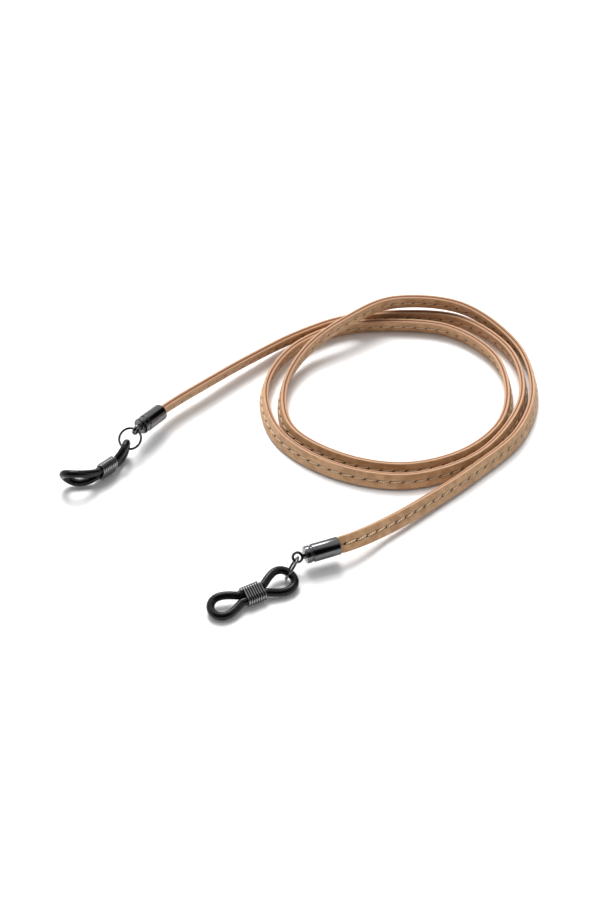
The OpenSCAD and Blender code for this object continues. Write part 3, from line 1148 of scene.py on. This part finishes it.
@dataclass
class RubberLoop:
    """A closed rubber cord pinched in the middle by a coil of wire."""

    pose: LoopPose
    rubber_d: float = 2.2
    front_l: float = 9.0
    front_bulge: float = 3.5
    back_l: float = 9.2
    front_run: float = 0.9
    back_run: float = 0.6
    coil_turns: int = 8
    coil_wire: float = 0.6
    coil_pitch: float = 0.75
    coil_fit: float = 0.05
    coil_short: float = 0.02
    opening_steps: int = 97
    strand_steps: int = 12
    coil_steps: int = 72
    rubber_sides: int = 28
    wire_sides: int = 12

    @property
    def strand_off(self) -> float:
        """How far each strand stands off the middle of the coil."""
        return (self.rubber_d + self.coil_fit) / 2

    @property
    def coil_l(self) -> float:
        """Length of the coil."""
        return self.coil_turns * self.coil_pitch

    def opening(
        self, turn: np.ndarray, reach: float, run: float, bulge: float
    ) -> tuple[np.ndarray, np.ndarray]:
        """One opening's cord by the angle t round it, before it is curled.

        The distance past the coil is run + (reach - run)(1 - cos t)/2, and the offset is
        strand_off (1 + cos t)/2 to its own side, plus bulge sin t |sin t/2|^1.25.

        Args:
            turn: the angles, from one strand at 0 to the other at 360.
            reach: how far past the coil the opening ends.
            run: how far past the coil its strands stay straight.
            bulge: how wide it opens.

        Returns:
            The distances past the coil, and the offsets from the spine.
        """
        t = np.radians(turn)
        past = run + (reach - run) * (1 - np.cos(t)) / 2
        own_side = np.where(turn < 180, 1, -1)
        off = self.strand_off * (1 + np.cos(t)) / 2 * own_side
        return past, off + bulge * np.sin(t) * np.abs(np.sin(t / 2)) ** 1.25

    def across(self, past: np.ndarray, reach: float, curl: Curl, roll: float) -> np.ndarray:
        """The direction across the spine, which bends and twists evenly along it.

        Args:
            past: distances past the coil.
            reach: the distance at which bend and twist are whole.
            curl: the bend, its tilt and the twist.
            roll: the direction's turn about the spine at the coil.

        Returns:
            A direction for each distance.
        """
        bend, tilt, twist = curl
        level = np.repeat([[0.0, 1.0, 0.0]], len(past), axis=0)
        rolled = turned_x(level, roll + twist * past / reach - tilt)
        return turned_x(turned_z(rolled, bend * past / reach), tilt)

    def spine(self, past: np.ndarray, reach: float, curl: Curl) -> np.ndarray:
        """The spine past the coil: an arc (sin(rate s), 1 - cos(rate s)) / rate, tilted.

        Args:
            past: distances s past the coil.
            reach: the distance at which the arc has turned by the curl's bend.
            curl: the bend, its tilt and the twist.

        Returns:
            A place for each distance.
        """
        bend, tilt, _ = curl
        rate = math.radians(bend) / reach
        arc = np.stack([np.sin(rate * past), 1 - np.cos(rate * past), 0 * past], axis=-1) / rate
        return turned_x(arc, tilt) + [self.coil_l / 2, 0, 0]

    def half(self, turn: np.ndarray, front: bool) -> tuple[np.ndarray, np.ndarray]:
        """Makes an opening's cord.

        The back opening is made as a front one with its roll and twist reversed, and
        is then turned half way round about Z.

        Args:
            turn: angles round the opening.
            front: whether it is the front opening.

        Returns:
            The cord's centre line, and the direction that stays level with it.
        """
        p = self.pose
        if front:
            reach, run, bulge = self.front_l + p.coil_shift, self.front_run, self.front_bulge
            curl, roll = p.front, p.roll
        else:
            bend, tilt, twist = p.back
            reach, run, bulge = self.back_l - p.coil_shift, self.back_run, p.back_bulge
            curl, roll = (bend, tilt, -twist), -p.roll
        past, off = self.opening(turn, reach, run, bulge)
        path = self.spine(past, reach, curl) + off[:, None] * self.across(past, reach, curl, roll)
        level = self.across(past, reach, curl, roll + 90)
        round_z = np.array([1, 1, 1]) if front else np.array([-1, -1, 1])
        return path * round_z, level * round_z

    def cord(self) -> Shell:
        """Makes the whole cord: front opening, strand, back opening and strand.

        Returns:
            The cord.
        """
        turn = np.linspace(0, 360, self.opening_steps)
        front, front_level = self.half(turn, True)
        back, back_level = self.half(turn, False)
        x = np.linspace(self.coil_l / 2, -self.coil_l / 2, self.strand_steps)
        to_back = turned_x(np.stack([x, 0 * x - self.strand_off, 0 * x], axis=-1), self.pose.roll)
        to_front = -to_back
        rolled = turned_x(np.array([[0.0, 0.0, 1.0]]), self.pose.roll)
        strand_level = np.repeat(rolled, len(x), axis=0)
        path = np.vstack([front, to_back, back, to_front])
        level = np.vstack([front_level, strand_level, back_level, strand_level])
        return tube(path, level, self.rubber_d / 2, self.rubber_sides, True)

    def coil(self) -> Shell:
        """Winds wire round both strands: two half circles joined by straights.

        The wire moves evenly along the coil as it goes round that outline, and it
        ends coil_short of a turn before the last turn is whole.

        Returns:
            The wire.
        """
        r = self.rubber_d / 2 + self.coil_fit + self.coil_wire / 2
        flat, bow = 2 * self.strand_off, math.pi * r
        whole = 2 * (flat + bow)
        last = self.coil_turns - self.coil_short
        walked = np.linspace(0, last, self.coil_turns * self.coil_steps) * whole
        place = walked % whole
        bends = [place < flat, place < flat + bow, place < 2 * flat + bow]
        a = (place - flat) / r
        b = (place - 2 * flat - bow) / r
        y = np.select(
            bends,
            [place - flat / 2, flat / 2 + r * np.sin(a), flat / 2 - (place - flat - bow)],
            -flat / 2 - r * np.sin(b),
        )
        z = np.select(bends, [r + 0 * place, r * np.cos(a), -r + 0 * place], -r * np.cos(b))
        usable = self.coil_l - self.coil_wire
        x = walked / walked[-1] * usable - usable / 2
        path = turned_x(np.stack([x, y, z], axis=-1), self.pose.roll)
        level = np.repeat([[1.0, 0.0, 0.0]], len(path), axis=0)
        return tube(path, level, self.coil_wire / 2, self.wire_sides, False)

    def hang_point(self) -> np.ndarray:
        """The point of the back opening that hangs in the ring."""
        return self.half(np.array([float(self.pose.hang_angle)]), False)[0][0]


@dataclass
class StrapEnd:
    """One end of the strap: its ferrule, jump ring, rubber loop and wire coil."""

    side: Side
    mouth: np.ndarray
    pose: Pose
    loop_pose: LoopPose
    hang_gap: float = 0.1
    ferrule: Ferrule = field(default_factory=Ferrule)
    ring: JumpRing = field(default_factory=JumpRing)

    def at_ferrule(self, shell: Shell) -> Shell:
        """A shell moved from the ferrule's own frame to the part's."""
        spun = turned(shell.points, self.pose.roll, self.pose.dip, self.pose.yaw)
        return Shell(spun + self.mouth, shell.faces)

    def at_eye(self, shell: Shell) -> Shell:
        """A shell moved from the ring's own frame to the part's."""
        swung = turned_z(shell.points, self.pose.swing) + [self.ferrule.eye_x, 0, 0]
        return self.at_ferrule(Shell(swung, shell.faces))

    def hung(self, loop: RubberLoop, shell: Shell) -> Shell:
        """Moves a shell from the loop's own frame to where the loop hangs in the ring.

        Args:
            loop: the rubber loop.
            shell: a shell in its frame.

        Returns:
            The moved shell.
        """
        reach = 2 * self.ring.ring_r - self.ring.wire / 2 - self.hang_gap - loop.rubber_d / 2
        hook = self.at_eye(Shell(np.array([[reach, 0.0, 0.0]]), [])).points[0]
        local = shell.points - loop.hang_point()
        return Shell(turned(local, 0, self.loop_pose.dip, self.loop_pose.yaw) + hook, shell.faces)

    def dress(
        self, made: bpy.types.Object, material: bpy.types.Material, body: str, node: str
    ) -> bpy.types.Object:
        """Gives a piece its finish, hangs it on its body and hides the CAD node that it stands
        for.

        Args:
            made: the piece.
            material: its finish.
            body: the body that it rides on.
            node: the CAD node that it stands for.

        Returns:
            The same piece.
        """
        made.data.materials.append(material)
        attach(made, body)
        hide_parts(node)
        log.info("%s: %d faces", made.name, len(made.data.polygons))
        return made

    def build(self, finishes: dict[str, bpy.types.Material]) -> list[bpy.types.Object]:
        """Builds this end's pieces.

        Args:
            finishes: the materials by name.

        Returns:
            The pieces.
        """
        s = self.side.value
        loop = RubberLoop(self.loop_pose)
        ferrule = self.at_ferrule(joined([self.ferrule.barrel(), self.ferrule.eye()]))
        ring = self.at_eye(self.ring.shell())
        cord, coil = self.hung(loop, loop.cord()), self.hung(loop, loop.coil())
        # Name, shell, angle of its sharp edges, finish, body, CAD node and slot.
        rows = (
            ("turned_ferrule", ferrule, 35, "ferrule", "strap", "ferrule", "ferrule_metal"),
            ("wire_ring", ring, 60, "ring", f"{s}_ring", "jump_ring", "ring_wire"),
            ("rubber_cord", cord, 60, "rubber", f"{s}_loop", "rubber_loop", "rubber"),
            ("wound_wire", coil, 60, "coil", f"{s}_coil", "wire_coil", "coil_wire"),
        )
        pieces = []
        for name, shell, sharp, finish, body, node, slot in rows:
            made = piece(f"{s}_{name}", shell, sharp)
            pieces.append(self.dress(made, finishes[finish], body, f"{s}_{node}"))
        return pieces


# ---------------------------------------------------------------------- studio


@dataclass(frozen=True)
class Lamp:
    """A square soft light, and whether polished pieces show it."""

    name: str
    at: tuple[float, float, float]
    size: float
    power: float
    mirrored: bool


@dataclass(frozen=True)
class DarkPatch:
    """A dark place in the air: where it lies, and how near it the dark starts and is full.

    Nearness is the dot product of the way looked, narrowed by stretch, and towards.
    """

    stretch: tuple[float, float, float]
    towards: tuple[float, float, float]
    start: float
    full: float


@dataclass
class Studio:
    """Camera, lights, backdrop light and a pale floor.

    Places and sizes are in metres, but floor_drop is in millimetres. Powers are in watts.
    """

    camera_at: tuple = (-0.001, -0.38674, 0.3381)
    look_down: float = 41.0
    lens: float = 72.0
    sensor: float = 36.0
    clip: tuple[float, float] = (0.01, 20.0)
    floor_size: float = 6.0
    floor_drop: float = 0.02
    floor_shades: tuple[Colour, Colour] = ((0.94, 0.94, 0.94), (0.95, 0.95, 0.95))
    air_strength: float = 1.26
    darkest: float = 0.01
    front_band: DarkPatch = DarkPatch((0.45, 1.0, 1.0), (0.0, -0.79, 0.61), 0.55, 0.93)
    right_patch: DarkPatch = DarkPatch((1.0, 1.0, 1.0), (0.78, 0.46, 0.42), 0.84, 0.97)
    key: Lamp = Lamp("key", (-0.08, 0.46, 0.78), size=0.42, power=6.4, mirrored=False)
    fill: Lamp = Lamp("fill", (0.1, -0.85, 0.45), size=0.6, power=1.3, mirrored=False)
    sheen: Lamp = Lamp("sheen", (-0.15, 0.6, 0.7), size=0.34, power=4.2, mirrored=True)

    def camera(self) -> None:
        """Makes the camera."""
        data = bpy.data.cameras.new("camera")
        data.lens, data.sensor_width = self.lens, self.sensor
        data.clip_start, data.clip_end = self.clip
        made = bpy.data.objects.new("camera", data)
        made.location = self.camera_at
        made.rotation_euler = (math.radians(90 - self.look_down), 0, 0)
        bpy.context.scene.collection.objects.link(made)
        bpy.context.scene.camera = made

    def floor(self) -> None:
        """Lays the floor, floor_drop millimetres under the part."""
        half = self.floor_size / 2 / MM
        x, y = np.array([-half, half, half, -half]), np.array([-half, -half, half, half])
        corners = np.stack([x, y, 0 * x - self.floor_drop], axis=-1)
        made = piece("studio_floor", Shell(corners, [np.array([[0, 1, 2, 3]])]), sharp=30)
        bench = Bench("pale_floor")
        mottle = bench.ramp(bench.noise(bench.place(), 3, 2), 0.2, 0.8)
        bench.colour(bench.mix(mottle, *self.floor_shades))
        bench.fixed(Roughness=0.8, Specular_IOR_Level=0.1)
        made.data.materials.append(bench.material)

    def hang(self, lamp: Lamp) -> None:
        """Hangs a light so that it faces the part.

        Args:
            lamp: the light.
        """
        data = bpy.data.lights.new(lamp.name, "AREA")
        data.size, data.energy = lamp.size, lamp.power
        made = bpy.data.objects.new(lamp.name, data)
        made.location = lamp.at
        made.visible_glossy = lamp.mirrored
        facing = -np.array(lamp.at)
        yaw = math.atan2(facing[1], facing[0]) - math.pi / 2
        tilt = math.atan2(math.hypot(facing[0], facing[1]), -facing[2])
        made.rotation_euler = (tilt, 0, yaw)
        bpy.context.scene.collection.objects.link(made)

    def darkened(
        self, tree: bpy.types.NodeTree, level: Union[Socket, float], patch: DarkPatch
    ) -> Socket:
        """Darkens the air towards one patch.

        Args:
            tree: the air's nodes.
            level: the brightness so far.
            patch: the patch.

        Returns:
            The brightness with the patch in it.
        """
        way = tree.nodes.new("ShaderNodeTexCoord")
        narrow, even, dot = (tree.nodes.new("ShaderNodeVectorMath") for _ in range(3))
        narrow.operation, even.operation, dot.operation = "MULTIPLY", "NORMALIZE", "DOT_PRODUCT"
        narrow.inputs[1].default_value = patch.stretch
        dot.inputs[1].default_value = patch.towards
        spread, both = tree.nodes.new("ShaderNodeMapRange"), tree.nodes.new("ShaderNodeMath")
        spread.interpolation_type, both.operation = "SMOOTHSTEP", "MULTIPLY"
        for k, number in enumerate((patch.start, patch.full, 1.0, self.darkest)):
            spread.inputs[k + 1].default_value = number
        tree.links.new(way.outputs["Generated"], narrow.inputs[0])
        tree.links.new(narrow.outputs["Vector"], even.inputs[0])
        tree.links.new(even.outputs["Vector"], dot.inputs[0])
        tree.links.new(dot.outputs["Value"], spread.inputs[0])
        tree.links.new(spread.outputs[0], both.inputs[1])
        if isinstance(level, Socket):
            tree.links.new(level, both.inputs[0])
        else:
            both.inputs[0].default_value = level
        return both.outputs[0]

    def surround(self) -> None:
        """Lights the air evenly, but for a dark band in front and a patch on the right."""
        world = bpy.data.worlds.new("studio_air")
        world.use_nodes = True
        tree = world.node_tree
        tree.nodes.clear()
        level = self.darkened(tree, self.air_strength, self.front_band)
        level = self.darkened(tree, level, self.right_patch)
        air = tree.nodes.new("ShaderNodeBackground")
        out = tree.nodes.new("ShaderNodeOutputWorld")
        tree.links.new(level, air.inputs["Strength"])
        tree.links.new(air.outputs[0], out.inputs["Surface"])
        bpy.context.scene.world = world

    def light(self) -> None:
        """Sets the lights."""
        self.surround()
        for lamp in (self.key, self.fill, self.sheen):
            self.hang(lamp)
        bpy.context.scene.view_settings.view_transform = "Standard"


def main() -> None:
    """Builds the studio and the strap in order."""
    logging.basicConfig(level=logging.INFO, format="%(name)s %(message)s")
    studio = Studio()
    studio.camera()
    route = Route()
    strap = Strap(route)
    outer, *sewn = strap.build()
    finishes = {
        "ferrule": MetalFinish("black_nickel_turning", (0.135, 0.135, 0.139), 0.12).material(),
        "ring": MetalFinish("black_nickel_ring_wire", (0.13, 0.13, 0.134), 0.14).material(),
        "coil": MetalFinish("black_nickel_coil_wire", (0.24, 0.24, 0.245), 0.1).material(),
        "rubber": RubberFinish().material(),
    }
    right = StrapEnd(Side.RIGHT, route.mouth(Side.RIGHT), RIGHT_POSE, RIGHT_LOOP)
    left = StrapEnd(Side.LEFT, route.mouth(Side.LEFT), LEFT_POSE, LEFT_LOOP)
    far_ferrule, *_ = left.build(finishes)
    strap.declare()
    right.build(finishes)
    glue = GlueFinish().material()
    for side in Side:
        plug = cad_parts[f"{side.value}_glue"]
        plug.data.materials.clear()
        plug.data.materials.append(glue)
        log.info("%s: the CAD plug, %d faces", plug.name, len(plug.data.polygons))
    studio.floor()
    studio.light()


if __name__ == "__main__":
    main()
